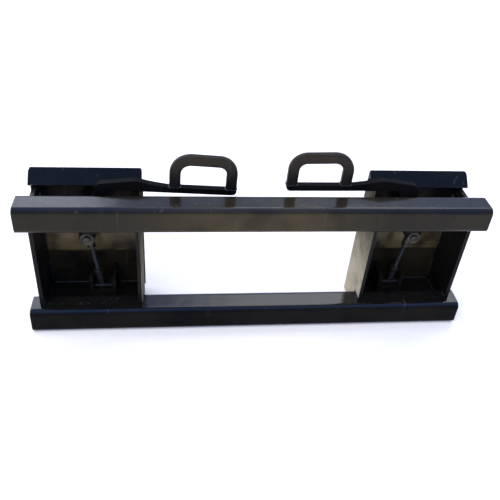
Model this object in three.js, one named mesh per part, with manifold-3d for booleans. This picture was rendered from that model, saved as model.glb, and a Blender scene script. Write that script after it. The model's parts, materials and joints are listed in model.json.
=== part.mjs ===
// Quick coupler for a compact loader: a welded frame of two square tubes and two boxed
// attachment plates, each box with a hand lever, a sprung link and a locking wedge.
// Millimetres, +Z up, +Y towards the attachment, X = 0 on the plane of symmetry,
// origin at the middle of the base.
import * as THREE from 'three';
import { mergeVertices } from 'three/addons/utils/BufferGeometryUtils.js';
import Module from 'manifold-3d';

const wasm = await Module();
wasm.setup();

// ---------------------------------------------------------------- driving dimensions
const GAP = 0.3; // between welded neighbours

const TUBE_SIZE = 70; // square section of both cross tubes
const TUBE_WALL = 5;
const TUBE_CORNER = 15; // outer corner radius
const TUBE_HALF_LENGTH = 573.5; // to the outside of an end cap
const CAP_THICKNESS = 8;
const UPPER_TUBE_Z = 319; // underside of the upper tube

const PLATE = 10; // thickness of the welded plates
const BOX_INNER_X = 292.5; // window side of a box
const BOX_OUTER_X = 552.5; // outer side of a box
const SIDE_PLATE_FRONT_Y = 33.5;
const SIDE_PLATE_TOP_Z = 364;
const FACE_PLATE_INNER_X = { left: 290, right: 297 }; // the two were not set quite alike
const FACE_PLATE_OUTER_X = 562.5;
const FACE_Y = 165; // attachment side of a face plate
const RIDGE_Z = 404; // crest of the hook lip
const LIP_END_Z = 372; // machine-side edge of the hook lip
const LIP_CORNER = 9; // corner rounding of the lip, seen along the slope
const FLOOR_Z = 24; // underside of the bottom plate, above the feet of the side plates

const LEVER_PLATE = 16;
const LEVER_Y = 90; // middle plane of a lever
const LINK_Y = 108; // middle plane of a link
const CRANK_PIN = { x: 427, z: 242 };
const CRANK_RADIUS = 50;
const OVER_CENTRE = THREE.MathUtils.degToRad(10); // locked crank, outboard of straight down
const PIVOT = {
  x: CRANK_PIN.x - CRANK_RADIUS * Math.sin(OVER_CENTRE),
  z: CRANK_PIN.z + CRANK_RADIUS * Math.cos(OVER_CENTRE),
};
const PIVOT_PIN_RADIUS = 15;
const BUSHING_RADIUS = 20;
const HUB_RADIUS = 33;
const CRANK_END_RADIUS = 19;
const CRANK_PIN_RADIUS = 8;

const ARM_HEIGHT = 15.5; // depth of the lever arm under the hand loop
const LOOP_BAR = 27; // width of the bent bar of the hand loop
const LOOP_DEPTH = 20;
const LOOP_OUTER_X = 224.5; // hub side of the hand loop
const LOOP_TIP_X = 61; // tip of the lever
const LOOP_TOP_Z = 490.5;
const ARM_ROOT_Z = 389.5; // underside of the arm where it rests
const ARM_TIP_Z = 383.5;
// The two levers come to rest at slightly different heights, as adjusted links leave them.
const REST_TILT = {
  left: THREE.MathUtils.degToRad(-1.2),
  right: THREE.MathUtils.degToRad(1.2),
};

const WEDGE_X = 398.2;
const WEDGE_WIDTH = 50;
const WEDGE_TIP_Z = 4;
const WEDGE_FRONT_Y = 121;
const WEDGE_BACK_Y = 141;
const WEDGE_SHELF_FRONT_Y = 94;
const SHELF_TOP_Z = 78; // lug of the wedge that the link passes through
const SHELF_THICKNESS = 12;
const LINK_FOOT_X = 403; // where the link crosses the middle of that lug
const ROD_RADIUS = 6;
const LINK_LEAN = Math.atan2(
  CRANK_PIN.x - LINK_FOOT_X,
  CRANK_PIN.z - SHELF_TOP_Z + SHELF_THICKNESS / 2,
);

const ROUND = 28; // segments of a full round part

// ---------------------------------------------------------------- materials
function steel(color, roughness, metalness) {
  return () => new THREE.MeshStandardMaterial({ color, roughness, metalness });
}
const blackPaint = steel(0x0c0e14, 0.28, 0.1);
const leverPaint = steel(0x0b0b0c, 0.4, 0.1);
const zinc = steel(0x8d9094, 0.4, 0.9);
const darkSteel = steel(0x3a3c40, 0.45, 0.85);
const bronze = steel(0x8a6a35, 0.4, 0.9);

// ---------------------------------------------------------------- solids
function signedVolume(geometry) {
  const p = geometry.attributes.position;
  const [a, b, c] = [new THREE.Vector3(), new THREE.Vector3(), new THREE.Vector3()];
  let sum = 0;
  for (let i = 0; i < geometry.index.count; i += 3) {
    a.fromBufferAttribute(p, geometry.index.getX(i));
    b.fromBufferAttribute(p, geometry.index.getX(i + 1));
    c.fromBufferAttribute(p, geometry.index.getX(i + 2));
    sum += a.dot(b.cross(c));
  }
  return sum / 6;
}

function flipFaces(geometry) {
  const index = geometry.index.array;
  for (let i = 0; i < index.length; i += 3) {
    [index[i], index[i + 1]] = [index[i + 1], index[i]];
  }
}

// Shared vertices are merged and faces turned outwards.
function closed(geometry) {
  const bare = geometry.clone();
  bare.deleteAttribute('normal');
  bare.deleteAttribute('uv');
  const merged = mergeVertices(bare, 1e-4);
  if (signedVolume(merged) < 0) flipFaces(merged);
  return merged;
}

function toManifold(geometry) {
  const solid = closed(geometry);
  return new wasm.Manifold(new wasm.Mesh({
    numProp: 3,
    vertProperties: new Float32Array(solid.attributes.position.array),
    triVerts: new Uint32Array(solid.index.array),
  }));
}

function fromManifold(manifold) {
  const mesh = manifold.getMesh();
  const geometry = new THREE.BufferGeometry();
  geometry.setAttribute('position', new THREE.BufferAttribute(mesh.vertProperties, 3));
  geometry.setIndex(new THREE.BufferAttribute(mesh.triVerts, 1));
  return geometry;
}

function cut(geometry, ...tools) {
  return fromManifold(tools.reduce((m, t) => m.subtract(toManifold(t)), toManifold(geometry)));
}

function join(geometry, ...others) {
  return fromManifold(others.reduce((m, t) => m.add(toManifold(t)), toManifold(geometry)));
}

// ---------------------------------------------------------------- shapes
function polygon(points) {
  return new THREE.Shape(points.map(([x, y]) => new THREE.Vector2(x, y)));
}

// A polygon whose corners are rounded; each point is [x, y, radius].
function roundedPolygon(points) {
  const corners = points.map(([x, y, r = 0]) => ({ at: new THREE.Vector2(x, y), r }));
  const shape = new THREE.Shape();
  corners.forEach(({ at, r }, i) => {
    const before = corners[(i + corners.length - 1) % corners.length].at;
    const after = corners[(i + 1) % corners.length].at;
    const back = before.clone().sub(at).normalize();
    const on = after.clone().sub(at).normalize();
    const halfAngle = Math.acos(THREE.MathUtils.clamp(back.dot(on), -1, 1)) / 2;
    const reach = r / Math.tan(halfAngle);
    const from = at.clone().addScaledVector(back, reach);
    const to = at.clone().addScaledVector(on, reach);
    if (i === 0) shape.moveTo(from.x, from.y);
    else shape.lineTo(from.x, from.y);
    if (r > 0) addArc(shape, from, to, at, back, on, r, halfAngle);
  });
  return shape;
}

function addArc(shape, from, to, corner, back, on, r, halfAngle) {
  const bisector = back.clone().add(on).normalize();
  const centre = corner.clone().addScaledVector(bisector, r / Math.sin(halfAngle));
  const start = Math.atan2(from.y - centre.y, from.x - centre.x);
  const end = Math.atan2(to.y - centre.y, to.x - centre.x);
  const clockwise = back.x * on.y - back.y * on.x > 0;
  shape.absarc(centre.x, centre.y, r, start, end, clockwise);
}

function circle(x, y, r) {
  const path = new THREE.Path();
  path.absarc(x, y, r, 0, 2 * Math.PI, true);
  return path;
}

// A shape in the XZ plane, given thickness along Y about y.
function plateXZ(shape, thickness, y, curveSegments = 8) {
  const geometry = new THREE.ExtrudeGeometry(shape, {
    depth: thickness,
    bevelEnabled: false,
    curveSegments,
  });
  return geometry.rotateX(Math.PI / 2).translate(0, y + thickness / 2, 0);
}

// A shape in the YZ plane, extruded along X from x0 to x1.
function barYZ(shape, x0, x1, curveSegments = 6) {
  const geometry = new THREE.ExtrudeGeometry(shape, {
    depth: x1 - x0,
    bevelEnabled: false,
    curveSegments,
  });
  const turn = new THREE.Matrix4().set(0, 0, 1, x0, 1, 0, 0, 0, 0, 1, 0, 0, 0, 0, 0, 1);
  return geometry.applyMatrix4(turn);
}

function block(x0, x1, y0, y1, z0, z1) {
  return new THREE.BoxGeometry(x1 - x0, y1 - y0, z1 - z0)
    .translate((x0 + x1) / 2, (y0 + y1) / 2, (z0 + z1) / 2);
}

// A ring or disc about the Y axis, from y0 to y1.
function roundAlongY(inner, outer, y0, y1, segments = ROUND) {
  const points = [[inner, y0], [outer, y0], [outer, y1], [inner, y1]];
  if (inner > 0) points.push([inner, y0]);
  return new THREE.LatheGeometry(points.map(([r, y]) => new THREE.Vector2(r, y)), segments);
}

// The same about the Z axis.
function roundAlongZ(inner, outer, z0, z1, segments = ROUND) {
  return roundAlongY(inner, outer, z0, z1, segments).rotateX(Math.PI / 2);
}

function hexNut(acrossFlats, bore, length) {
  const corner = acrossFlats / Math.sqrt(3);
  const hexagon = new THREE.Shape();
  for (let i = 0; i < 6; i += 1) {
    const angle = (i * Math.PI) / 3;
    const point = [corner * Math.cos(angle), corner * Math.sin(angle)];
    if (i === 0) hexagon.moveTo(...point);
    else hexagon.lineTo(...point);
  }
  hexagon.closePath();
  hexagon.holes.push(circle(0, 0, bore));
  return new THREE.ExtrudeGeometry(hexagon, {
    depth: length,
    bevelEnabled: false,
    curveSegments: ROUND / 2,
  });
}

// ---------------------------------------------------------------- cross tubes
function tubeSection(size, corner, wall) {
  const outline = (inset) => {
    const [a, b, r] = [inset, size - inset, corner - inset];
    return roundedPolygon([[a, a, r], [b, a, r], [b, b, r], [a, b, r]]);
  };
  const section = outline(0);
  if (wall) section.holes.push(outline(wall));
  return section;
}

function crossTube() {
  const half = TUBE_HALF_LENGTH - CAP_THICKNESS - GAP;
  return barYZ(tubeSection(TUBE_SIZE, TUBE_CORNER, TUBE_WALL), -half, half, 6);
}

function tubeCap() {
  const inner = TUBE_HALF_LENGTH - CAP_THICKNESS;
  return barYZ(tubeSection(TUBE_SIZE, TUBE_CORNER), inner, TUBE_HALF_LENGTH, 6);
}

// ---------------------------------------------------------------- boxes
// Profile of the face plate: flat face, folded over at 45 degrees into the hook lip.
function facePlate(innerX) {
  const inner = FACE_Y - PLATE;
  const diagonal = PLATE / Math.SQRT2;
  const lipRun = RIDGE_Z - LIP_END_Z;
  const ridgeY = FACE_Y - 3;
  const lipEndY = ridgeY - lipRun;
  const lipFootZ = LIP_END_Z - diagonal + (inner - lipEndY - diagonal);
  const chamfer = 6;
  const profile = roundedPolygon([
    [FACE_Y, FLOOR_Z + chamfer],
    [FACE_Y, RIDGE_Z - 2, 3],
    [ridgeY, RIDGE_Z, 1],
    [lipEndY, LIP_END_Z],
    [lipEndY + diagonal, LIP_END_Z - diagonal],
    [inner, lipFootZ],
    [inner, FLOOR_Z],
    [FACE_Y - chamfer, FLOOR_Z],
  ]);
  const plate = barYZ(profile, innerX, FACE_PLATE_OUTER_X, 3);
  return cut(plate, lipCorner(-1, innerX), lipCorner(1, FACE_PLATE_OUTER_X));
}

// What rounds a corner of the lip: a block less a cylinder, across the ridge.
function lipCorner(side, edge) {
  const centre = edge - side * LIP_CORNER;
  const top = RIDGE_Z - LIP_CORNER;
  const spare = 5;
  const [x0, x1] = [centre, edge + side * spare].sort((a, b) => a - b);
  const corner = block(x0, x1, 120, FACE_Y + spare, top, RIDGE_Z + spare);
  const round = roundAlongY(0, LIP_CORNER, 110, FACE_Y + 2 * spare, 28).translate(centre, 0, top);
  return cut(corner, round);
}

function sidePlate(x0) {
  const inner = FACE_Y - PLATE - GAP;
  const clear = GAP * Math.SQRT2;
  const lipSlope = LIP_END_Z - PLATE * Math.SQRT2 - (FACE_Y - 3 - (RIDGE_Z - LIP_END_Z)) - clear;
  const behindTube = TUBE_SIZE + GAP;
  const top = SIDE_PLATE_TOP_Z;
  const outline = roundedPolygon([
    [behindTube, 0],
    [inner, 0, 5],
    [inner, inner + lipSlope],
    [top - lipSlope, top],
    [behindTube, top, 6],
    [behindTube, UPPER_TUBE_Z - GAP],
    [SIDE_PLATE_FRONT_Y, UPPER_TUBE_Z - GAP],
    [SIDE_PLATE_FRONT_Y, TUBE_SIZE + GAP],
    [behindTube, TUBE_SIZE + GAP],
  ]);
  return barYZ(outline, x0, x0 + PLATE, 4);
}

// Plate between the feet of a box, with the hole that the wedge passes.
function bottomPlate() {
  const x0 = BOX_INNER_X + PLATE + GAP;
  const x1 = BOX_OUTER_X - PLATE - GAP;
  const plate = block(x0, x1, TUBE_SIZE + GAP, FACE_Y - PLATE - GAP, FLOOR_Z, FLOOR_Z + PLATE);
  const half = WEDGE_WIDTH / 2 + 2.5;
  const [front, back] = [WEDGE_SHELF_FRONT_Y + 2, WEDGE_BACK_Y + 2];
  return cut(plate, block(WEDGE_X - half, WEDGE_X + half, front, back, 0, FLOOR_Z + 3 * PLATE));
}

// Plate behind the upper tube that carries the machine-side end of the lever pivot.
function pivotPlate() {
  const x0 = BOX_INNER_X + PLATE + GAP;
  const x1 = BOX_OUTER_X - PLATE - GAP;
  const top = UPPER_TUBE_Z + TUBE_SIZE - 21;
  const bottom = 342;
  const lobe = PIVOT_PIN_RADIUS + 11;
  const foot = PIVOT.z - lobe;
  const outline = roundedPolygon([
    [x0, bottom],
    [PIVOT.x - lobe, bottom, 12],
    [PIVOT.x - lobe, foot, lobe - 0.1],
    [PIVOT.x + lobe, foot, lobe - 0.1],
    [PIVOT.x + lobe, bottom, 12],
    [x1, bottom],
    [x1, top],
    [x0, top],
  ]);
  outline.holes.push(circle(PIVOT.x, PIVOT.z, PIVOT_PIN_RADIUS + GAP));
  const thickness = 9;
  return plateXZ(outline, thickness, TUBE_SIZE + GAP + thickness / 2);
}

const PIVOT_PIN_FRONT_Y = TUBE_SIZE + 2 * GAP;

function pivotPin() {
  return roundAlongY(0, PIVOT_PIN_RADIUS, PIVOT_PIN_FRONT_Y, FACE_Y - PLATE - GAP)
    .translate(PIVOT.x, 0, PIVOT.z);
}

function pivotSpacer() {
  const front = LEVER_Y + LEVER_PLATE / 2 + 1;
  return roundAlongY(PIVOT_PIN_RADIUS + GAP, PIVOT_PIN_RADIUS + 8, front, FACE_Y - PLATE - GAP)
    .translate(PIVOT.x, 0, PIVOT.z);
}

// U-shaped guide for the wedge: two rails and a strap across their machine side.
function wedgeGuide() {
  const [low, high, strapTop] = [FLOOR_Z + PLATE + GAP, 104, 64];
  const half = WEDGE_WIDTH / 2 + 0.5;
  const rail = 9;
  const [front, back] = [85, FACE_Y - PLATE - GAP];
  const outer = block(WEDGE_X - half - rail, WEDGE_X + half + rail, front, back, low, high);
  const channel = block(WEDGE_X - half, WEDGE_X + half, front + 8, back + 5, low - 5, high + 5);
  const opening = block(WEDGE_X - half, WEDGE_X + half, front - 5, back, strapTop, high + 5);
  return cut(outer, channel, opening);
}

// Pad on top of the window-side plate, on which the locked lever rests.
function leverRest(tilt) {
  const top = ARM_ROOT_Z - 1.7 + tilt * (PIVOT.x - BOX_INNER_X);
  const outline = roundedPolygon([
    [284.5, SIDE_PLATE_TOP_Z + GAP, 1],
    [312, SIDE_PLATE_TOP_Z + GAP, 1],
    [312, top, 2],
    [284.5, top, 2],
  ]);
  return plateXZ(outline, LEVER_PLATE, LEVER_Y, 3);
}

// ---------------------------------------------------------------- lever
// Bell crank: crank end at the link, hub at the pivot, a leg up behind the upper tube
// and a flat arm towards the middle of the coupler.
function armUnderside(x) {
  const t = (x - LOOP_TIP_X) / (BOX_INNER_X - LOOP_TIP_X);
  return ARM_TIP_Z + t * (ARM_ROOT_Z - ARM_TIP_Z);
}

function turnAboutPivot(geometry, angle) {
  return geometry
    .translate(-PIVOT.x, 0, -PIVOT.z)
    .rotateY(angle)
    .translate(PIVOT.x, 0, PIVOT.z);
}

function leverArm(tilt) {
  const outline = roundedPolygon([
    [LOOP_TIP_X, armUnderside(LOOP_TIP_X), 11],
    [352, armUnderside(352), 14],
    [PIVOT.x - HUB_RADIUS + 3, PIVOT.z + 24, 30],
    [PIVOT.x - HUB_RADIUS + 6, PIVOT.z - 12],
    [PIVOT.x + HUB_RADIUS - 4, PIVOT.z - 10],
    [PIVOT.x + HUB_RADIUS - 4, PIVOT.z + 24, 30],
    [403, ARM_ROOT_Z - 12, 20],
    [403, 407, 22],
    [303, 419, 30],
    [262, 409, 40],
    [LOOP_OUTER_X + 2, armUnderside(LOOP_OUTER_X) + ARM_HEIGHT, 6],
    [LOOP_TIP_X, armUnderside(LOOP_TIP_X) + ARM_HEIGHT, 3],
  ]);
  const arm = turnAboutPivot(plateXZ(outline, LEVER_PLATE, LEVER_Y, 5), tilt);
  const y0 = LEVER_Y - LEVER_PLATE / 2;
  const y1 = LEVER_Y + LEVER_PLATE / 2;
  const hub = roundAlongY(0, HUB_RADIUS, y0, y1, 40).translate(PIVOT.x, 0, PIVOT.z);
  const end = roundAlongY(0, CRANK_END_RADIUS, y0, y1, 28).translate(CRANK_PIN.x, 0, CRANK_PIN.z);
  const lean = new THREE.Vector2(CRANK_PIN.x - PIVOT.x, CRANK_PIN.z - PIVOT.z).normalize();
  const across = (centre, r, side) => [centre.x - side * lean.y * r, centre.z + side * lean.x * r];
  const crank = plateXZ(polygon([
    across(PIVOT, HUB_RADIUS - 6, 1),
    across(CRANK_PIN, CRANK_END_RADIUS - 0.2, 1),
    across(CRANK_PIN, CRANK_END_RADIUS - 0.2, -1),
    across(PIVOT, HUB_RADIUS - 6, -1),
  ]), LEVER_PLATE, LEVER_Y);
  const bore = roundAlongY(0, BUSHING_RADIUS, y0 - 5, y1 + 5).translate(PIVOT.x, 0, PIVOT.z);
  const eye = roundAlongY(0, CRANK_PIN_RADIUS + GAP, y0 - 5, y1 + 5, 24)
    .translate(CRANK_PIN.x, 0, CRANK_PIN.z);
  return cut(join(arm, hub, end, crank), bore, eye);
}

// Bent bar welded to the top of the arm: leg, bend, top, bend, leg.
function handleLoop(tilt) {
  const half = LOOP_BAR / 2;
  const hubX = LOOP_OUTER_X - half;
  const tipX = LOOP_TIP_X + half;
  const top = LOOP_TOP_Z - half;
  const drop = 3;
  const [hubBend, tipBend] = [37, 33];
  const foot = (x) => armUnderside(x) + ARM_HEIGHT + 0.9;
  const at = (x, z) => new THREE.Vector3(x, LEVER_Y, z);
  const path = new THREE.CurvePath();
  const roundness = 0.5523; // of a cubic curve that follows a quarter circle
  const corner = (a, b, c) => new THREE.CubicBezierCurve3(
    a,
    a.clone().lerp(b, roundness),
    c.clone().lerp(b, roundness),
    c,
  );
  const points = [
    at(hubX, foot(hubX)), at(hubX, top - hubBend), at(hubX, top), at(hubX - hubBend, top),
    at(tipX + tipBend, top - drop), at(tipX, top - drop), at(tipX, top - drop - tipBend),
    at(tipX, foot(tipX)),
  ];
  path.add(new THREE.LineCurve3(points[0], points[1]));
  path.add(corner(points[1], points[2], points[3]));
  path.add(new THREE.LineCurve3(points[3], points[4]));
  path.add(corner(points[4], points[5], points[6]));
  path.add(new THREE.LineCurve3(points[6], points[7]));
  const [w, d, r] = [LOOP_BAR / 2, LOOP_DEPTH / 2, 7];
  const section = roundedPolygon([[-d, -w, r], [d, -w, r], [d, w, r], [-d, w, r]]);
  const bar = new THREE.ExtrudeGeometry(section, {
    steps: 30,
    curveSegments: 3,
    bevelEnabled: false,
    extrudePath: path,
  });
  return turnAboutPivot(bar, tilt);
}

function pivotBushing() {
  const half = LEVER_PLATE / 2 + 0.7;
  return roundAlongY(PIVOT_PIN_RADIUS + GAP, BUSHING_RADIUS - GAP, LEVER_Y - half, LEVER_Y + half)
    .translate(PIVOT.x, 0, PIVOT.z);
}

// Grease nipple on the outboard rim of the hub.
function greaseFitting() {
  const profile = [[0, 0], [5, 0], [5, 4], [3, 4], [3, 7], [4, 8], [4, 9.5], [2.2, 12], [0, 12]];
  return new THREE.LatheGeometry(profile.map(([r, h]) => new THREE.Vector2(r, h)), 16)
    .rotateZ(-Math.PI / 2)
    .translate(PIVOT.x + HUB_RADIUS + GAP, LEVER_Y, PIVOT.z);
}

const LEVER_FRONT_Y = LEVER_Y - LEVER_PLATE / 2;
const CRANK_NUT_Y = LINK_Y + 10;

// Headed pin through the crank end and the rod end.
function crankPin() {
  const headBack = LEVER_FRONT_Y - 2 - GAP;
  const profile = [
    [0, headBack - 4], [9, headBack - 4], [10.5, headBack - 2.5], [10.5, headBack],
    [CRANK_PIN_RADIUS, headBack], [CRANK_PIN_RADIUS, CRANK_NUT_Y + 14], [0, CRANK_NUT_Y + 14],
  ];
  return new THREE.LatheGeometry(profile.map(([r, y]) => new THREE.Vector2(r, y)), ROUND)
    .translate(CRANK_PIN.x, 0, CRANK_PIN.z);
}

function crankWasher() {
  return roundAlongY(CRANK_PIN_RADIUS + GAP, 17.5, LEVER_FRONT_Y - 2, LEVER_FRONT_Y - GAP / 2)
    .translate(CRANK_PIN.x, 0, CRANK_PIN.z);
}

function crankNut() {
  return hexNut(24, CRANK_PIN_RADIUS + GAP, 12)
    .rotateX(-Math.PI / 2)
    .translate(CRANK_PIN.x, CRANK_NUT_Y, CRANK_PIN.z);
}

// ---------------------------------------------------------------- link
// The link is built hanging straight down from its eye at the origin and then leaned.
const EYE_TO_SHELF = Math.hypot(
  CRANK_PIN.x - LINK_FOOT_X,
  CRANK_PIN.z - SHELF_TOP_Z + SHELF_THICKNESS / 2,
);
const NECK_LENGTH = 37;
const JAM_NUT_LENGTH = 8;
const SPRING_FOOT = -EYE_TO_SHELF + SHELF_THICKNESS / 2 + 2.2;
const SPRING_LENGTH = 32;
const SPRING_TURNS = 5.5;
const SPRING_WIRE = 3;
const SPRING_RADIUS = 9.5;
const NUT_TOP = -EYE_TO_SHELF - SHELF_THICKNESS / 2 - 5.6;

function rodEnd() {
  const half = 7;
  const ring = roundAlongY(0, 18.5, -half, half, 36);
  const hole = roundAlongY(0, CRANK_PIN_RADIUS + GAP, -half - 5, half + 5, 28);
  const neck = new THREE.LatheGeometry(
    [[0, -NECK_LENGTH], [9, -NECK_LENGTH], [10, -NECK_LENGTH + 1.5], [10, -15], [0, -15]]
      .map(([r, y]) => new THREE.Vector2(r, y)),
    ROUND,
  ).rotateX(Math.PI / 2);
  return cut(join(ring, neck), hole);
}

function linkRod() {
  return roundAlongZ(0, ROD_RADIUS, NUT_TOP - 26, -NECK_LENGTH - GAP, 24);
}

function lockSpring() {
  const points = [];
  const stepsPerTurn = 12;
  const closedTurns = 1;
  const travel = SPRING_LENGTH - 2 * SPRING_WIRE;
  const total = Math.round(stepsPerTurn * (SPRING_TURNS + 2 * closedTurns));
  for (let i = 0; i <= total; i += 1) {
    const turn = i / stepsPerTurn;
    const open = THREE.MathUtils.clamp((turn - closedTurns / 2) / (SPRING_TURNS + closedTurns), 0, 1);
    const angle = turn * 2 * Math.PI;
    points.push(new THREE.Vector3(
      SPRING_RADIUS * Math.cos(angle),
      SPRING_RADIUS * Math.sin(angle),
      SPRING_FOOT + SPRING_WIRE + open * travel,
    ));
  }
  const wire = new THREE.Shape().absarc(0, 0, SPRING_WIRE / 2, 0, 2 * Math.PI);
  return new THREE.ExtrudeGeometry(wire, {
    steps: total,
    curveSegments: 3,
    bevelEnabled: false,
    extrudePath: new THREE.CatmullRomCurve3(points),
  });
}

// ---------------------------------------------------------------- wedge
function lockWedge() {
  const outline = roundedPolygon([
    [WEDGE_FRONT_Y, WEDGE_TIP_Z, 2],
    [WEDGE_FRONT_Y + 9, WEDGE_TIP_Z, 3],
    [WEDGE_BACK_Y, WEDGE_TIP_Z + 30, 6],
    [WEDGE_BACK_Y, SHELF_TOP_Z, 4],
    [WEDGE_SHELF_FRONT_Y, SHELF_TOP_Z, 4],
    [WEDGE_SHELF_FRONT_Y, SHELF_TOP_Z - SHELF_THICKNESS, 3],
    [WEDGE_FRONT_Y, SHELF_TOP_Z - SHELF_THICKNESS, 2],
  ]);
  const half = WEDGE_WIDTH / 2;
  const body = barYZ(outline, WEDGE_X - half, WEDGE_X + half, 3);
  const play = 2.5;
  const reach = 7;
  const slot = new THREE.Shape();
  slot.absarc(WEDGE_X + reach, LINK_Y, ROD_RADIUS + play, -Math.PI / 2, Math.PI / 2, false);
  slot.absarc(WEDGE_X - reach, LINK_Y, ROD_RADIUS + play, Math.PI / 2, 1.5 * Math.PI, false);
  const tool = new THREE.ExtrudeGeometry(slot, { depth: 30, bevelEnabled: false, curveSegments: 8 })
    .translate(0, 0, SHELF_TOP_Z - 22);
  return cut(body, tool);
}

// ---------------------------------------------------------------- assembly
function mesh(name, geometry, material) {
  const result = new THREE.Mesh(closed(geometry), material());
  result.name = name;
  return result;
}

// Each sub-part of one box is built for +X and mirrored for -X.
function addSide(root, label, side) {
  const place = (name, geometry, material) => {
    geometry.scale(side, 1, 1);
    root.add(mesh(`${label}_${name}`, geometry, material));
  };
  place('face_plate', facePlate(FACE_PLATE_INNER_X[label]), blackPaint);
  place('outer_side_plate', sidePlate(BOX_OUTER_X - PLATE), blackPaint);
  place('inner_side_plate', sidePlate(BOX_INNER_X), blackPaint);
  place('bottom_plate', bottomPlate(), blackPaint);
  place('pivot_plate', pivotPlate(), blackPaint);
  place('pivot_pin', pivotPin(), darkSteel);
  place('pivot_spacer', pivotSpacer(), blackPaint);
  place('wedge_guide', wedgeGuide(), blackPaint);
  place('lever_rest', leverRest(REST_TILT[label]), blackPaint);

  place('lever_arm', leverArm(REST_TILT[label]), leverPaint);
  place('handle_loop', handleLoop(REST_TILT[label]), leverPaint);
  place('pivot_bushing', pivotBushing(), bronze);
  place('grease_fitting', greaseFitting(), zinc);
  place('crank_pin', crankPin(), darkSteel);
  place('crank_washer', crankWasher(), zinc);
  place('crank_nut', crankNut(), zinc);
  place('lock_wedge', lockWedge(), darkSteel);
  addLink(root, label, side);
}

function addLink(root, label, side) {
  const link = new THREE.Group();
  link.position.set(side * CRANK_PIN.x, LINK_Y, CRANK_PIN.z);
  link.rotation.y = side * LINK_LEAN;
  const hang = (name, geometry, material) => link.add(mesh(`${label}_${name}`, geometry, material));
  const bore = ROD_RADIUS + GAP;
  const jamTop = -NECK_LENGTH - GAP;
  const seat = SPRING_FOOT + SPRING_LENGTH + 2.4;
  hang('rod_end', rodEnd(), zinc);
  hang('link_rod', linkRod(), zinc);
  hang('jam_nut', hexNut(19, bore, JAM_NUT_LENGTH).translate(0, 0, jamTop - JAM_NUT_LENGTH), zinc);
  hang('lock_spring', lockSpring(), darkSteel);
  hang('spring_seat', roundAlongZ(bore, 12.5, seat, seat + 2.5), zinc);
  hang('seat_nut', hexNut(19, bore, 7).translate(0, 0, seat + 2.5 + GAP), zinc);
  hang('thrust_washer', roundAlongZ(bore, 12.5, NUT_TOP, NUT_TOP + 2.5), zinc);
  hang('rod_nut', hexNut(18, bore, 10).translate(0, 0, NUT_TOP - GAP - 10), zinc);
  hang('lock_nut', hexNut(18, bore, 7).translate(0, 0, NUT_TOP - 2 * GAP - 17), zinc);
  root.add(link);
}

function addTube(root, level, z) {
  const at = (geometry) => geometry.translate(0, 0, z);
  root.add(mesh(`${level}_cross_tube`, at(crossTube()), blackPaint));
  root.add(mesh(`${level}_right_end_cap`, at(tubeCap()), blackPaint));
  root.add(mesh(`${level}_left_end_cap`, at(tubeCap()).scale(-1, 1, 1), blackPaint));
}

const coupler = new THREE.Group();
coupler.name = 'quick_coupler';
coupler.position.y = -FACE_Y / 2;
addTube(coupler, 'upper', UPPER_TUBE_Z);
addTube(coupler, 'lower', 0);
addSide(coupler, 'left', -1);
addSide(coupler, 'right', 1);

export default coupler;
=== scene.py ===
"""Looks of the loader quick coupler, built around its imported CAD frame. Metres, +Z up."""
import json
import math

import bpy
from mathutils import Matrix, Vector


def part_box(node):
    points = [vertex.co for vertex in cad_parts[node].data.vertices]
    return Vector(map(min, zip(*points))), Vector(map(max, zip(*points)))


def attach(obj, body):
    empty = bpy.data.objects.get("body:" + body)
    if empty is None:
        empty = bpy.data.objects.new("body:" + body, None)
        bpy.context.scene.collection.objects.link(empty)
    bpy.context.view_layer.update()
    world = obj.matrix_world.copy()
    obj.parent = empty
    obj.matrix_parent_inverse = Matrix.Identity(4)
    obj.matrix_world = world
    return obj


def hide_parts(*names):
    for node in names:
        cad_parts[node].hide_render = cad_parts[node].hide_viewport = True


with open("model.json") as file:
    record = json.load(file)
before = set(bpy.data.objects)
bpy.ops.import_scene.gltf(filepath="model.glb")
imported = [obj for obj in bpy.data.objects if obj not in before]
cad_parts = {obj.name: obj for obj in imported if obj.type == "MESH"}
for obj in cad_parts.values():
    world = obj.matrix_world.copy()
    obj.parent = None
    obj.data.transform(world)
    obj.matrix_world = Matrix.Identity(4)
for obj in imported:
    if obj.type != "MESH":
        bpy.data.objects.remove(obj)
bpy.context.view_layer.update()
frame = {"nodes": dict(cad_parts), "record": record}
NODES = frame["nodes"]
SIDES = {"left": -1, "right": 1}
Y, Z = Vector((0, 1, 0)), Vector((0, 0, 1))


# ------------------------------------------------------------------ camera, light, floor
def add_camera():
    """Machine side, from above and slightly to the left, as a hand-held camera saw it."""
    place = Vector((-0.2093, -1.2245, 1.2088))
    yaw, pitch, roll = 0.1545, -0.6151, 0.091
    reach = math.cos(pitch)
    ahead = Vector((math.sin(yaw) * reach, math.cos(yaw) * reach, math.sin(pitch)))
    level = Vector((math.cos(yaw), -math.sin(yaw), 0))
    above = level.cross(ahead)
    right = math.cos(roll) * level + math.sin(roll) * above
    up = math.cos(roll) * above - math.sin(roll) * level
    data = bpy.data.cameras.new("camera")
    data.sensor_width = 36
    data.lens = 43.63
    data.shift_x = -0.0024
    data.shift_y = -0.0804
    camera = bpy.data.objects.new("camera", data)
    turn = Matrix((right, up, -ahead)).transposed()
    camera.matrix_world = Matrix.Translation(place) @ turn.to_4x4()
    bpy.context.scene.collection.objects.link(camera)
    bpy.context.scene.camera = camera
    bpy.context.scene.view_settings.view_transform = "Standard"


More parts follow.
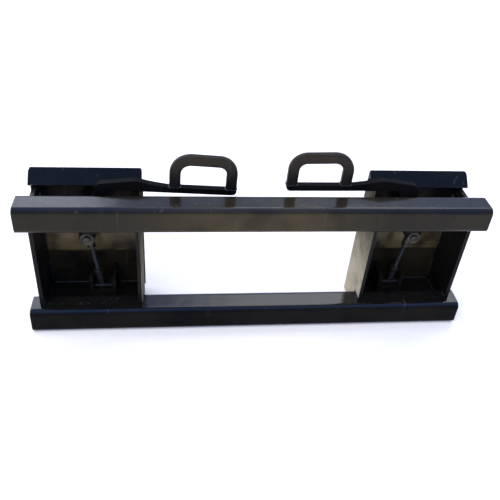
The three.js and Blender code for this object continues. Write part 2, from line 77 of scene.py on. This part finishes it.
class Graph:
    """Shader nodes of one material or world, linked as they are made."""

    def __init__(self, tree):
        self.nodes, self.links = tree.nodes, tree.links

    def feed(self, socket, value):
        if isinstance(value, bpy.types.NodeSocket):
            self.links.new(value, socket)
        else:
            socket.default_value = value

    def make(self, kind, inputs=(), **settings):
        node = self.nodes.new("ShaderNode" + kind)
        for key, value in settings.items():
            setattr(node, key, value)
        for key, value in dict(inputs).items():
            self.feed(node.inputs[key], value)
        return node

    def math(self, operation, a, b=0.0):
        return self.make("Math", {0: a, 1: b}, operation=operation).outputs[0]

    def times(self, *values):
        """Product of two or more values."""
        product = values[0]
        for value in values[1:]:
            product = self.math("MULTIPLY", product, value)
        return product

    def dot(self, a, direction):
        inputs = {0: a, 1: Vector(direction).normalized()}
        return self.make("VectorMath", inputs, operation="DOT_PRODUCT").outputs["Value"]

    def step(self, value, low, high, start=0.0, end=1.0):
        """Smooth step of value from low to high, scaled to run from start to end."""
        inputs = {"Value": value, 1: low, 2: high, 3: start, 4: end}
        return self.make("MapRange", inputs, interpolation_type="SMOOTHSTEP").outputs[0]

    def blend(self, factor, a, b, kind="MIX"):
        """Colour a turning into colour b."""
        node = self.make("Mix", data_type="RGBA", blend_type=kind)
        for index, value in ((0, factor), (6, a), (7, b)):
            self.feed(node.inputs[index], value)
        return node.outputs[2]


def add_world():
    """Bluish sky with two bright clouds behind, seen in the gloss; a plain white backdrop."""
    world = bpy.data.worlds.new("studio")
    bpy.context.scene.world = world
    world.use_nodes = True
    world.node_tree.nodes.clear()
    g = Graph(world.node_tree)
    way = g.make("TexCoord").outputs["Generated"]
    height = g.dot(way, Z)
    sky = g.blend(g.step(height, 0.01, 0.1), (1.5, 1.45, 1.35, 1), (0.21, 0.41, 1.0, 1))
    clouds = (
        ((0, 1, 0.35), 0.5, 0.85, (0.42, 0.56, 0.92, 1)),
        ((0.26, 0.558, 0.788), 0.94, 0.972, (2.6, 2.65, 2.8, 1)),
        ((-0.337, 0.757, 0.559), 0.956, 0.985, (2.9, 3.1, 3.7, 1)),
    )
    for direction, low, high, color in clouds:
        sky = g.blend(g.step(g.dot(way, direction), low, high), sky, color)
    seen = g.make("LightPath").outputs["Is Camera Ray"]
    back = g.make("Background", {"Color": g.blend(seen, sky, (1, 1, 1, 1)), "Strength": 1.0})
    out = g.make("OutputWorld")
    g.links.new(back.outputs[0], out.inputs["Surface"])


def add_softbox():
    """Very wide soft light overhead. It lights the floor but isn't mirrored in the gloss."""
    data = bpy.data.lights.new("softbox", "SUN")
    data.angle = math.radians(75)
    data.energy = 3.5
    data.color = (1.0, 0.96, 0.9)
    light = bpy.data.objects.new("softbox", data)
    light.rotation_euler = (math.radians(14), math.radians(-20), 0)
    light.visible_glossy = False
    bpy.context.scene.collection.objects.link(light)


def add_floor():
    mesh = bpy.data.meshes.new("floor")
    half = 30
    corners = [(-half, -half, 0), (half, -half, 0), (half, half, 0), (-half, half, 0)]
    mesh.from_pydata(corners, [], [(0, 1, 2, 3)])
    floor = bpy.data.objects.new("floor", mesh)
    floor.location.z = -0.0005
    look = Look("floor_pale", 0.6)
    speck = look.step(look.noise(40, 3), 0.3, 0.7)
    look.set("Base Color", look.blend(speck, (0.93, 0.87, 0.76, 1), (0.95, 0.89, 0.79, 1)))
    mesh.materials.append(look.material)
    bpy.context.scene.collection.objects.link(floor)


# ------------------------------------------------------------------ materials
class Look(Graph):
    """A procedural material around one Principled shader."""

    def __init__(self, name, roughness=0.5, metallic=0.0, specular=0.5):
        self.material = bpy.data.materials.new(name)
        self.material.use_nodes = True
        super().__init__(self.material.node_tree)
        self.shader = self.nodes["Principled BSDF"]
        self.place = self.make("TexCoord").outputs["Object"]
        self.normal = self.make("NewGeometry").outputs["Normal"]
        self.set("Roughness", roughness)
        self.set("Metallic", metallic)
        self.set("Specular IOR Level", specular)

    def set(self, name, value):
        self.feed(self.shader.inputs[name], value)

    def noise(self, scale, detail=2.0, rough=0.5, stretch=(1, 1, 1)):
        place = self.make("Mapping", {"Vector": self.place, "Scale": stretch}).outputs[0]
        inputs = {"Vector": place, "Scale": scale, "Detail": detail, "Roughness": rough}
        return self.make("TexNoise", inputs).outputs["Fac"]

    def edges(self, radius):
        """1 on convex and concave edges within the radius, 0 on flat faces."""
        bevel = self.make("Bevel", {"Radius": radius}, samples=4).outputs["Normal"]
        inputs = {0: bevel, 1: self.normal}
        close = self.make("VectorMath", inputs, operation="DOT_PRODUCT").outputs["Value"]
        return self.step(close, 0.995, 0.90)

    def bump(self, *layers):
        """Each layer is (height, distance); they add up."""
        below = None
        for height, distance in layers:
            node = self.make("Bump", {"Height": height, "Distance": distance, "Strength": 1.0})
            if below:
                self.links.new(below, node.inputs["Normal"])
            below = node.outputs["Normal"]
        self.set("Normal", below)
        self.links.new(below, self.shader.inputs["Coat Normal"])


def paint_look(
    name, dust_and_reflection, gloss, roughness=0.32, specular=0.08,
    painted_window_light=False, painted_ground_reflection=False, painted_lit_loop_tops=False, painted_lip_shade_and_band=False
):
    """Sprayed black enamel: orange peel, runs, settled dust, scuffs and bare edges.

    dust_and_reflection is (least, most) khaki cover, which is dust and, on the upper tube,
    also a painted reflection of the warm ground; gloss is (coat weight on upright faces, on
    top faces). painted_window_light paints light beside the window: a warm beige on those
    faces, stronger towards the ground and on the right, with their gloss taken away.
    painted_ground_reflection gathers the khaki towards the middle of a tube, a painted
    reflection of the warm ground on its front. painted_lit_loop_tops browns the top of the
    hand loops, painted light falling on them. painted_lip_shade_and_band leaves no khaki in
    the strip under the hook lips, a painted shade, and lays a band of khaki inside the boxes
    with a warm tint on its gloss, a painted warm reflection.
    """
    look = Look(name, specular=specular)
    split = look.make("SeparateXYZ", {"Vector": look.place}).outputs
    height = split["Z"]
    upward = look.dot(look.normal, Z)
    patches = look.noise(7, 4, 0.6)
    fine = look.noise(90, 3, 0.6)
    grit = look.noise(520, 2, 0.6)
    worn = look.times(look.edges(0.0014), look.step(fine, 0.5, 0.66))
    upright, top = gloss
    coat = look.step(upward, 0.45, 0.9, upright, top)
    coat = look.times(coat, look.step(worn, 0.0, 1.0, 1.0, 0.25))

    khaki_patches = look.times(look.step(patches, 0.3, 0.7), look.step(grit, 0.3, 0.62, 0.6, 1.0))
    # Painted reflection: more khaki towards the middle of the tube stands in for the warm ground
    # mirrored in its front.
    if painted_ground_reflection:
        middle = look.step(look.math("ABSOLUTE", split["X"]), 0.36, 0.04, 0.2, 1.0)
        khaki_patches = look.times(look.step(khaki_patches, 0.0, 0.6, 0.45, 1.0), middle)
    cover = look.make("MapRange", {"Value": khaki_patches, 3: dust_and_reflection[0], 4: dust_and_reflection[1]}).outputs[0]
    cover = look.times(cover, look.step(upward, 0.08, 0.6, 1.0, 0.35))
    # Painted shade: no khaki in the strip under the hook lips, so it stays dark as if shaded;
    # below it a band of khaki whose gloss is tinted warm, a painted warm reflection.
    if painted_lip_shade_and_band:
        cover = look.times(cover, look.step(height, 0.29, 0.32, 1.0, 0.0))
        inside = look.step(look.dot(look.normal, Y), -0.2, -0.8)
        band = look.times(look.step(height, 0.143, 0.154), look.step(height, 0.3, 0.24), inside)
        settled = look.times(band, look.step(look.noise(15, 2), 0.35, 0.65, 0.07, 0.35))
        cover = look.math("MAXIMUM", cover, settled)
        look.set("Specular IOR Level", look.step(band, 0.0, 1.0, 0.05, 0.4))
        look.set("Specular Tint", (1.0, 0.87, 0.6, 1))
    lighter = [c * 1.5 for c in BLACK]
    color = look.blend(look.step(patches, 0.3, 0.7), (*BLACK, 1), (*lighter, 1))
    # Khaki cover: dust, and on the upper tube also a painted reflection of the warm ground.
    color = look.blend(cover, color, (*KHAKI, 1))
    scratch = look.step(look.noise(70, 2, 0.5, (1, 1, 0.05)), 0.66, 0.72)
    rubbed = look.times(scratch, look.step(patches, 0.42, 0.62), 0.12)
    color = look.blend(rubbed, color, (0.2, 0.18, 0.16, 1))
    # Painted light: warm beige on the faces beside the window, stronger towards the ground and on
    # the right plate, stands in for light falling on them.
    if painted_window_light:
        beside = look.step(look.math("ABSOLUTE", split["X"]), 0.2935, 0.2928)
        depth = look.step(height, 0.34, 0.04, 0.2, 0.88)
        blotchy = look.step(look.noise(22, 5, 0.7), 0.25, 0.6, 0.55, 1.0)
        blotchy = look.times(blotchy, look.step(split["X"], -0.2, 0.2, 0.5, 1.0))
        color = look.blend(look.times(beside, depth, blotchy), color, (0.6, 0.51, 0.34, 1))
        look.set("Specular IOR Level", look.step(beside, 0.0, 1.0, specular, 0.0))
        coat = look.times(coat, look.step(beside, 0.0, 1.0, 1.0, 0.0))
    # Painted light: brown on the top of the hand loops stands in for light falling on them.
    if painted_lit_loop_tops:
        upper = look.step(height, 0.425, 0.475, 0.015, 0.12)
        lit_loop_top = look.times(upper, look.step(fine, 0.25, 0.6, 0.6, 1.0))
        color = look.blend(lit_loop_top, color, (0.17, 0.125, 0.07, 1))
    color = look.blend(look.times(worn, 0.3), color, (0.13, 0.105, 0.085, 1))

    look.set("Base Color", color)
    look.set("Roughness", look.step(fine, 0.3, 0.7, roughness - 0.06, roughness + 0.12))
    look.set("Coat Weight", coat)
    look.set("Coat Roughness", 0.07)
    waves, ripple, peel = look.noise(5, 0), look.noise(28, 1), look.noise(430, 1)
    look.bump((waves, 0.004), (ripple, 0.00035), (peel, 0.0001), (grit, 0.00003))
    return look.material


def metal_look(name, base, stain, roughness, metallic):
    """Bare or plated steel: blotches, a lighter tone on edges and in corners, and fine scratches.
    """
    look = Look(name, metallic=metallic)
    blotch = look.noise(60, 4, 0.65)
    scratch = look.noise(700, 2, 0.6)
    corner = look.times(look.edges(0.0012), 0.5)
    color = look.blend(look.step(blotch, 0.35, 0.65), (*base, 1), (*stain, 1))
    color = look.blend(corner, color, (*[min(1.0, c * 2.2) for c in base], 1))
    look.set("Base Color", color)
    look.set("Roughness", look.step(blotch, 0.3, 0.7, roughness - 0.08, roughness + 0.15))
    look.bump((scratch, 0.00008), (blotch, 0.0002))
    return look.material


def weld_look():
    """Weld bead under paint: ripples, soot and spatter."""
    look = Look("weld_paint", specular=0.35)
    fine = look.noise(260, 3, 0.6)
    soot = look.step(fine, 0.4, 0.7)
    look.set("Base Color", look.blend(soot, (0.012, 0.012, 0.014, 1), (0.05, 0.042, 0.035, 1)))
    look.set("Roughness", look.step(fine, 0.3, 0.7, 0.28, 0.5))
    look.set("Coat Weight", look.step(fine, 0.35, 0.6, 0.4, 0.15))
    look.set("Coat Roughness", 0.12)
    look.bump((fine, 0.0003))
    return look.material


BLACK = (0.0035, 0.0034, 0.0036)
# Khaki of dust, also used as the painted reflection of the warm ground on the upper tube.
KHAKI = (0.33, 0.24, 0.09)


# ------------------------------------------------------------------ mesh building
def add_mesh(name, vertices, faces, material, body):
    """A smooth closed mesh that rides on a body."""
    mesh = bpy.data.meshes.new(name)
    mesh.from_pydata(vertices, [], faces)
    mesh.polygons.foreach_set("use_smooth", [True] * len(faces))
    mesh.set_sharp_from_angle(angle=math.radians(38))
    mesh.materials.append(material)
    piece = bpy.data.objects.new(name, mesh)
    bpy.context.scene.collection.objects.link(piece)
    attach(piece, body)
    return piece


def sweep(points, ring, outward):
    """Vertices and faces of a section carried along points.

    ring(i) gives the section's (out, across) offsets at point i, and outward(i) its out direction.
    """
    vertices, faces = [], []
    last = len(points) - 1
    for i, point in enumerate(points):
        along = (points[min(i + 1, last)] - points[max(i - 1, 0)]).normalized()
        out = outward(i)
        out = (out - along * out.dot(along)).normalized()
        across = along.cross(out)
        vertices += [point + out * u + across * v for u, v in ring(i)]
    count = len(vertices) // len(points)
    for i in range(last):
        for k in range(count):
            a, b = i * count + k, i * count + (k + 1) % count
            faces.append((a, b, b + count, a + count))
    faces.append(tuple(reversed(range(count))))
    faces.append(tuple(last * count + k for k in range(count)))
    return vertices, faces


def turns_of(count):
    """Angles of a full turn in equal steps, with both ends."""
    return [2 * math.pi * k / count for k in range(count + 1)]


def round_section(radius, count, squeeze=1.0):
    turns = [2 * math.pi * k / count for k in range(count)]
    return [(radius * math.cos(t) * squeeze, radius * math.sin(t)) for t in turns]


def rounded_section(half_out, half_across, radius, per_corner=6):
    """A rectangle with rounded corners."""
    section = []
    for corner, (su, sv) in enumerate(((1, 1), (-1, 1), (-1, -1), (1, -1))):
        for k in range(per_corner + 1):
            turn = (corner + k / per_corner) * math.pi / 2
            u = su * (half_out - radius) + radius * math.cos(turn)
            v = sv * (half_across - radius) + radius * math.sin(turn)
            section.append((u, v))
    return section


def resampled(points, spacing):
    """Points at an even spacing along a polyline."""
    lengths = [0.0]
    for a, b in zip(points, points[1:]):
        lengths.append(lengths[-1] + (b - a).length)
    count = max(2, round(lengths[-1] / spacing))
    result, leg = [], 0
    for i in range(count + 1):
        s = lengths[-1] * i / count
        while leg < len(points) - 2 and s > lengths[leg + 1]:
            leg += 1
        part = (s - lengths[leg]) / (lengths[leg + 1] - lengths[leg])
        result.append(points[leg].lerp(points[leg + 1], part))
    return result


def add_bead(name, points, out, radius, body="frame"):
    """A weld bead along a line: overlapping ripples with an uneven width, closed at both ends."""
    spacing, pitch = 0.0009, 0.0034
    path = resampled([Vector(p) for p in points], spacing)
    last = len(path) - 1
    seed = sum(ord(c) for c in name)

    def size(i):
        s = i * spacing
        scale = 1 - 0.16 * ((s / pitch) % 1.0)
        sway = 1 + 0.07 * math.sin(s * 260 + seed) + 0.05 * math.sin(s * 733 + 2 * seed)
        end = min(1.0, (min(i, last - i) + 0.4) / 4)
        return radius * scale * sway * math.sqrt(end)

    vertices, faces = sweep(path, lambda i: round_section(size(i), 10, 0.8), lambda i: Vector(out))
    return add_mesh(name, vertices, faces, WELD, body)


# ------------------------------------------------------------------ CAD nodes that stay
def finish_node(node, material, edge):
    """Keeps the node's shape and gives it a material and small edge radii."""
    mesh = node.data
    mesh.materials.clear()
    mesh.materials.append(material)
    mesh.polygons.foreach_set("use_smooth", [True] * len(mesh.polygons))
    flat = node.modifiers.new("flat faces", "DECIMATE")
    flat.decimate_type = "DISSOLVE"
    flat.angle_limit = math.radians(0.6)
    bevel = node.modifiers.new("edge radius", "BEVEL")
    bevel.width = edge
    bevel.segments = 2
    bevel.limit_method = "ANGLE"
    bevel.angle_limit = math.radians(35)
    bevel.miter_outer = "MITER_ARC"
    even = node.modifiers.new("shading", "WEIGHTED_NORMAL")
    even.keep_sharp = True


# ------------------------------------------------------------------ detailed pieces
PIVOT = Vector((0.4183, 0, 0.2912))
REST_TILT = {"left": math.radians(-1.2), "right": math.radians(1.2)}
LEVER_Y = 0.0075
LOOP_OUTER_X, LOOP_TIP_X, LOOP_TOP_Z = 0.2245, 0.061, 0.4904
LOOP_BAR, LOOP_DEPTH = 0.027, 0.020
ARM_TIP_X, ARM_TIP_Z = 0.063, 0.3835  # underside of the lever arm
ARM_LENGTH, ARM_RISE = 0.2295, 0.006
ARM_HEIGHT = 0.0155


def arc(start, corner, end, steps=16):
    """Quarter of an ellipse from start to end, inside the corner."""
    result = []
    for k in range(steps + 1):
        turn = k / steps * math.pi / 2
        part_start, part_end = 1 - math.sin(turn), 1 - math.cos(turn)
        result.append(corner + (start - corner) * part_start + (end - corner) * part_end)
    return result


def lever_place(side, x, z):
    """A point of the lever's middle plane, built for +X and level, at its rest tilt."""
    tilt = Matrix.Rotation(REST_TILT[side], 3, "Y")
    point = tilt @ (Vector((x, 0, z)) - PIVOT) + PIVOT
    return Vector((SIDES[side] * point.x, LEVER_Y, point.z))


def arm_top(x):
    """Height of the lever arm's upper edge at x, before its rest tilt."""
    return ARM_TIP_Z + (x - ARM_TIP_X) / ARM_LENGTH * ARM_RISE + ARM_HEIGHT


def add_handle_loop(side):
    """Bent bar with even bends, and the weld beads round its two feet."""
    hub, tip = LOOP_OUTER_X - LOOP_BAR / 2, LOOP_TIP_X + LOOP_BAR / 2
    top = LOOP_TOP_Z - LOOP_BAR / 2

    def at(x, z):
        return Vector((x, 0, z))

    path = [at(hub, arm_top(hub) - 0.001)]
    path += arc(at(hub, top - 0.037), at(hub, top), at(hub - 0.037, top))
    path += arc(at(tip + 0.033, top - 0.003), at(tip, top - 0.003), at(tip, top - 0.036))
    path.append(at(tip, arm_top(tip) - 0.001))
    path = resampled(path, 0.003)
    path = [lever_place(side, p.x, p.z) for p in path]
    section = rounded_section(LOOP_DEPTH / 2, LOOP_BAR / 2, 0.0065)
    vertices, faces = sweep(path, lambda i: section, lambda i: Y)
    loop = add_mesh(
        f"{side}_handle_bar", vertices, faces, LEVERS_LOOP, f"{side}_lever"
    )
    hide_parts(f"{side}_handle_loop")
    for label, x in (("hub", hub), ("tip", tip)):
        centre = lever_place(side, x, arm_top(x) + 0.0006)
        ring = []
        half_depth = LOOP_DEPTH / 2 - 0.0015
        for t in turns_of(64):
            steepest = max(abs(math.cos(t)) / (LOOP_BAR / 2), abs(math.sin(t)) / half_depth)
            reach = min(1 / steepest, 0.0144)
            ring.append(centre + Vector((reach * math.cos(t), reach * math.sin(t), 0)))
        add_bead(f"{side}_{label}_foot_weld", ring, (0, 0, 1), 0.0022, f"{side}_lever")


def link_frame(side):
    """Place of a link: origin at its eye, -Z along the rod."""
    low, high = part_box(f"{side}_crank_pin")
    foot_low, foot_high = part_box(f"{side}_lock_nut")
    eye, foot = (low + high) / 2, (foot_low + foot_high) / 2
    eye.y = foot.y
    lean = math.atan2(eye.x - foot.x, eye.z - foot.z)
    return Matrix.Translation(eye) @ Matrix.Rotation(lean, 4, "Y")


def add_threaded_rod(side):
    """Rod with a rolled thread along its whole length."""
    place = link_frame(side)
    pitch, crest, root, count, per_turn = 0.00175, 0.00592, 0.0052, 20, 6
    top = -0.0374
    rod_low, rod_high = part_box(f"{side}_link_rod")
    bottom = top - (rod_high - rod_low).z + 0.002
    rings = round((top - bottom) / pitch * per_turn)
    vertices, faces = [], []
    for i in range(rings + 1):
        z = bottom + (top - bottom) * i / rings
        end = min(1.0, min(i, rings - i) / per_turn + 0.6)
        for k in range(count):
            turn = 2 * math.pi * k / count
            wave = 0.5 + 0.5 * math.cos(2 * math.pi * (z / pitch) - turn)
            r = (root + (crest - root) * wave) * end
            vertices.append(place @ Vector((r * math.cos(turn), r * math.sin(turn), z)))
    for i in range(rings):
        for k in range(count):
            a, b = i * count + k, i * count + (k + 1) % count
            faces.append((a, b, b + count, a + count))
    faces.append(tuple(reversed(range(count))))
    faces.append(tuple(rings * count + k for k in range(count)))
    rod = add_mesh(f"{side}_threaded_rod", vertices, faces, ZINC, f"{side}_link")
    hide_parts(f"{side}_link_rod")


def add_spring(side):
    """Round-wire compression spring with a closed turn at each end."""
    place = link_frame(side)
    seat_low, seat_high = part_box(f"{side}_spring_seat")
    seat = (place.inverted() @ ((seat_low + seat_high) / 2)).z - 0.00125 - 0.0024
    length, wire, radius = 0.032, 0.0015, 0.0095
    foot = seat - length
    turns, per_turn = 7.5, 28
    path = []
    for i in range(round(turns * per_turn) + 1):
        turn = i / per_turn
        rise = min(1.0, max(0.0, (turn - 0.5) / (turns - 1)))
        angle = 2 * math.pi * turn
        z = foot + 2 * wire + rise * (length - 4 * wire)
        path.append(Vector((radius * math.cos(angle), radius * math.sin(angle), z)))
    section = round_section(wire, 12)
    outward = [Vector((point.x, point.y, 0)) for point in path]
    vertices, faces = sweep(path, lambda i: section, lambda i: outward[i])
    vertices = [place @ v for v in vertices]
    spring = add_mesh(f"{side}_coil_spring", vertices, faces, STEEL, f"{side}_link")
    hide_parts(f"{side}_lock_spring")


def add_welds(side):
    """Beads of the frame on one side. Places are millimetres from the middle of the base."""
    sign = SIDES[side]
    count = [0]

    def bead(start, end, out, radius=3.0):
        count[0] += 1
        points = [Vector((sign * x, y - 82.5, z)) / 1000 for x, y, z in (start, end)]
        direction = Vector((sign * out[0], out[1], out[2]))
        add_bead(f"{side}_weld_{count[0]:02d}", points, direction, radius / 1000)

    inner, outer, plate, front = 292.5, 552.5, 10, 154.7
    for x, out in ((inner, -1), (inner + plate, 1), (outer - plate, -1), (outer, 1)):
        bead((x, 35, 319), (x, 56, 319), (out, 0, -1), 2.6)
        bead((x, 35, 70), (x, 56, 70), (out, 0, 1), 2.6)
    for x, out in ((inner, -1), (outer, 1)):
        bead((x, 70.3, 330), (x, 70.3, 360), (out, -1, 0))
        bead((x, 70.3, 16), (x, 70.3, 54), (out, -1, 0))
    for x, out in ((inner + plate, 1), (outer - plate, -1)):
        for low, high in ((42, 110), (160, 225), (275, 335)):
            bead((x, front, low), (x, front, high), (out, -1, 0), 3.4)
        bead((x, 76, 34), (x, 148, 34), (out, 0, 1), 2.6)
    bead((outer, front, 28), (outer, front, 340), (1, -1, 0), 3.4)
    guide_left, guide_right = 363.7, 432.7
    for start, end in ((305, guide_left - 3), (guide_right + 3, 540)):
        bead((start, front, 34), (end, front, 34), (0, -1, 1))
        bead((start, 70.3, 34), (end, 70.3, 34), (0, 1, 1))
    bead((guide_left, front, 40), (guide_left, front, 102), (-1, -1, 0), 2.6)
    bead((guide_right, front, 40), (guide_right, front, 102), (1, -1, 0), 2.6)
    bead((306, 79.3, 342), (376, 79.3, 342), (0, 1, -1), 2.4)
    bead((462, 79.3, 342), (539, 79.3, 342), (0, 1, -1), 2.4)
    bead((inner + 1, 82, 364.3), (inner + plate - 1, 82, 364.3), (0, -1, 1), 2.2)
    bead((inner + 1, 98, 364.3), (inner + plate - 1, 98, 364.3), (0, 1, 1), 2.2)
    centre = Vector((sign * PIVOT.x, 0.0722, PIVOT.z))
    ring = [centre + 0.023 * Vector((math.cos(t), 0, math.sin(t))) for t in turns_of(48)]
    add_bead(f"{side}_weld_pivot", ring, (0, -1, 0), 0.0028)


# ------------------------------------------------------------------ scene
add_camera()
add_world()
add_softbox()
add_floor()

# Upper tube: its khaki is partly a painted reflection of the warm ground, gathered to the middle.
TUBE_UPPER = paint_look("frame_paint_upper_tube", (0.02, 0.15), (0.11, 0.7), painted_ground_reflection=True)
TUBE_LOWER = paint_look("frame_paint_lower_tube", (0.0, 0.012), (0.0, 1.0), specular=0.03)
# Side plates: painted light on the faces beside the window.
PLATES = paint_look("frame_paint_plates", (0.0, 0.02), (0.04, 0.4), 0.4, painted_window_light=True)
# Face plates: a painted shade under the hook lips and a band with a painted warm reflection.
FACES = paint_look("frame_paint_face_plates", (0.0, 0.07), (0.0, 0.5), 0.16, painted_lip_shade_and_band=True)
LEVERS = paint_look("lever_paint", (0.0, 0.008), (0.01, 0.01), 0.42, 0.03)
# Hand loops: painted light on their tops.
LEVERS_LOOP = paint_look("lever_paint_loop_lit_top", (0.0, 0.03), (0.06, 0.06), 0.42, painted_lit_loop_tops=True)
STEEL = metal_look("bare_steel", (0.055, 0.048, 0.04), (0.03, 0.024, 0.018), 0.42, 0.85)
ZINC = metal_look("zinc_plate", (0.062, 0.054, 0.045), (0.032, 0.026, 0.02), 0.4, 0.8)
BRONZE = metal_look("bronze", (0.16, 0.11, 0.05), (0.07, 0.045, 0.02), 0.4, 0.9)
WELD = weld_look()
FINISHES = {
    "frame_paint": (PLATES, 0.0009),
    "lever_paint": (LEVERS, 0.0012),
    "bare_steel": (STEEL, 0.0005),
    "zinc_plate": (ZINC, 0.0004),
    "bronze": (BRONZE, 0.0003),
}
for part in frame["record"]["subparts"]:
    finish, edge_radius = FINISHES[part["material_slot"]]
    name = part["node"]
    if name.startswith("upper") or name.startswith("lower"):
        finish = TUBE_UPPER if name.startswith("upper") else TUBE_LOWER
        edge_radius = 0.0006
    if name.endswith("face_plate"):
        finish = FACES
    finish_node(NODES[name], finish, edge_radius)

for side_name in SIDES:
    add_handle_loop(side_name)
    add_threaded_rod(side_name)
    add_spring(side_name)
    add_welds(side_name)
